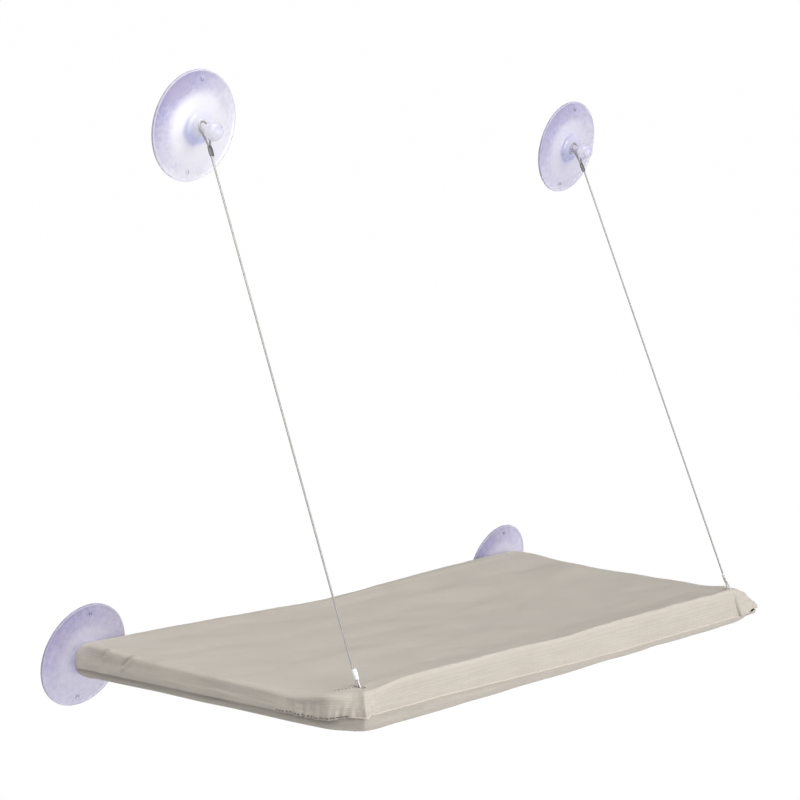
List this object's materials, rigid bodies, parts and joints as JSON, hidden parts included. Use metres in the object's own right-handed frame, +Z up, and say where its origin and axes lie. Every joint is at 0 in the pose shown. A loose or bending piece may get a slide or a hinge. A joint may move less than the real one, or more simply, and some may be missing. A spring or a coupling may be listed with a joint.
{
  "type": "window mounted cat perch",
  "caption": "Cloth covered tube frame platform that hangs on a window pane from suction cups, with steel cables to its front corners and a ball hinge at the rear.",
  "frame": {"origin": "on the window pane, midway between the axes of the two lower suction cups", "axes": "+Y points into the pane, the room and the platform's front edge are on -Y; +Z is up along the pane; +X is to the right as seen from the room"},
  "size_m": [0.666, 0.3027, 0.535],
  "materials": {
    "clear_vinyl": "clear soft vinyl with a faint lavender tint, glossy",
    "ferrule_metal": "crimped bright aluminium",
    "cable_steel": "bare twisted steel wire rope",
    "frame_tube": "extruded white plastic tube",
    "frame_fitting": "moulded dark plastic",
    "fixing_steel": "zinc plated steel",
    "cover_cloth": "warm beige woven polyester with a thin lining",
    "binding_thread": "stitched edge in matching thread",
    "flap_tape": "hook and loop tape"
  },
  "bodies": {
    "window_cups": {"suction_cup_upper_left": "clear_vinyl", "suction_cup_upper_right": "clear_vinyl", "suction_cup_lower_left": "clear_vinyl", "suction_cup_lower_right": "clear_vinyl", "upper_ferrule_left": "ferrule_metal", "upper_ferrule_right": "ferrule_metal"},
    "platform": {"front_tube": "frame_tube", "rear_tube": "frame_tube", "left_tube": "frame_tube", "right_tube": "frame_tube", "front_left_corner": "frame_fitting", "front_right_corner": "frame_fitting", "rear_left_corner": "frame_fitting", "rear_right_corner": "frame_fitting", "frame_screws": "fixing_steel", "cable_pins": "fixing_steel", "cable_left": "cable_steel", "cable_right": "cable_steel", "lower_ferrule_left": "ferrule_metal", "lower_ferrule_right": "ferrule_metal", "cover_top_panel": "cover_cloth", "cover_bottom_panel": "cover_cloth", "cover_front_band": "cover_cloth", "cover_rear_band": "cover_cloth", "cover_left_band": "cover_cloth", "cover_right_band": "cover_cloth", "cover_seam": "binding_thread", "cable_buttonholes": "binding_thread", "knob_opening_left": "binding_thread", "knob_opening_right": "binding_thread", "cover_left_flap": "cover_cloth", "cover_right_flap": "cover_cloth", "flap_hook_tape_left": "flap_tape", "flap_hook_tape_right": "flap_tape", "flap_loop_tape_left": "flap_tape", "flap_loop_tape_right": "flap_tape"}
  },
  "joints": [
    {"name": "platform_tilt", "type": "hinge", "parent": "window_cups", "child": "platform", "pos_m": [0, -0.0231, 0], "axis": [-1, 0, 0], "range_deg": [0, 12], "deforming": ["cable_left", "cable_right"]}
  ]
}
